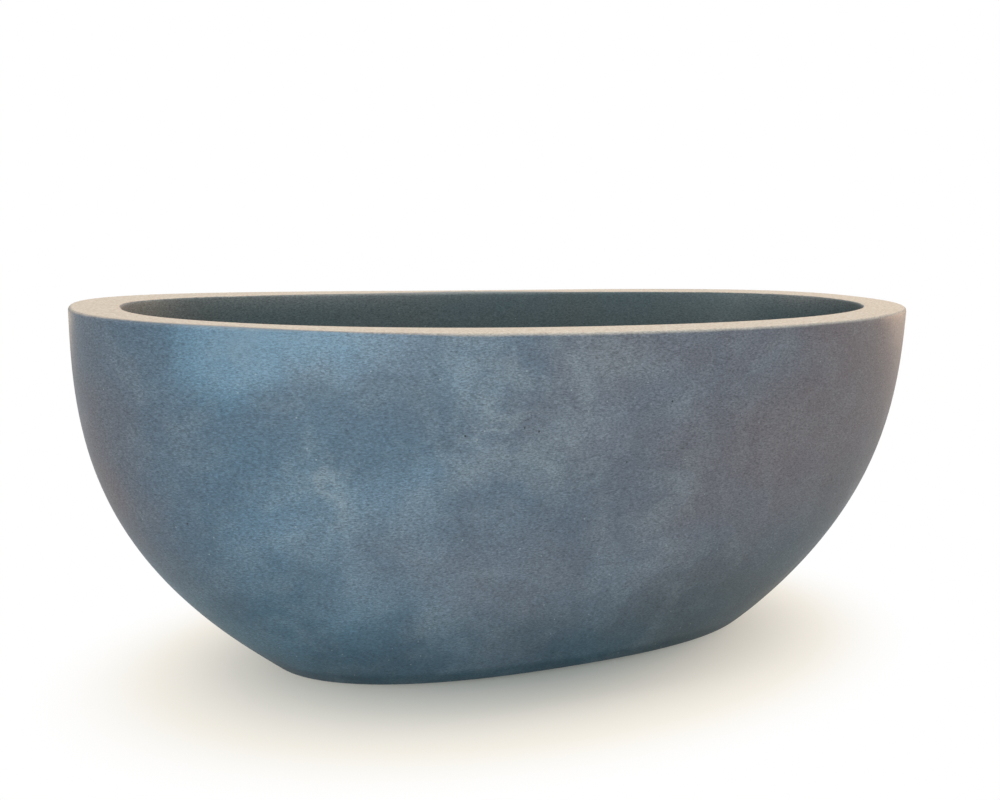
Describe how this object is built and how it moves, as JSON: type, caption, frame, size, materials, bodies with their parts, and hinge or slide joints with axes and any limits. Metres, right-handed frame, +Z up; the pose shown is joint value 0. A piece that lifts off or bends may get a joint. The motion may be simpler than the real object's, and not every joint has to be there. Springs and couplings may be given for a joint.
{
  "type": "oval bowl planter",
  "caption": "Oval cast-concrete bowl planter: thick soft-edged rim, belly curving in to a flat base on pads, and rubber plugs that lift out of drain sleeves in its floor.",
  "frame": {"origin": "on the ground, under the middle of the bowl; the pads under the base stand on Z = 0", "axes": "+X along the bowl's length, +Y across it to the rear, +Z up"},
  "size_m": [0.914, 0.457, 0.3664],
  "materials": {
    "concrete": "cast, washed with a slate blue stain, matt and slightly gritty",
    "sleeve": "extruded grey pipe plastic",
    "plug": "moulded black rubber",
    "pad": "cut rubber sheet",
    "steel": "rolled bar with mill scale"
  },
  "bodies": {
    "bowl": {"bowl_shell": "concrete", "drain_sleeve_left": "sleeve", "drain_sleeve_right": "sleeve", "foot_pad_front_left": "pad", "foot_pad_front_right": "pad", "foot_pad_rear_left": "pad", "foot_pad_rear_right": "pad", "top_hoop": "steel", "belly_hoop": "steel", "base_hoop": "steel", "cross_rib_1": "steel", "cross_rib_2": "steel", "cross_rib_3": "steel", "cross_rib_4": "steel", "cross_rib_5": "steel", "long_rib_front": "steel", "long_rib_rear": "steel"},
    "plug_left": {"drain_plug_left": "plug"},
    "plug_right": {"drain_plug_right": "plug"}
  },
  "joints": [
    {"name": "lift_left", "type": "slide", "parent": "bowl", "child": "plug_left", "axis": [0, 0, 1], "range_m": [0, 0.36]},
    {"name": "lift_right", "type": "slide", "parent": "bowl", "child": "plug_right", "axis": [0, 0, 1], "range_m": [0, 0.36]}
  ]
}
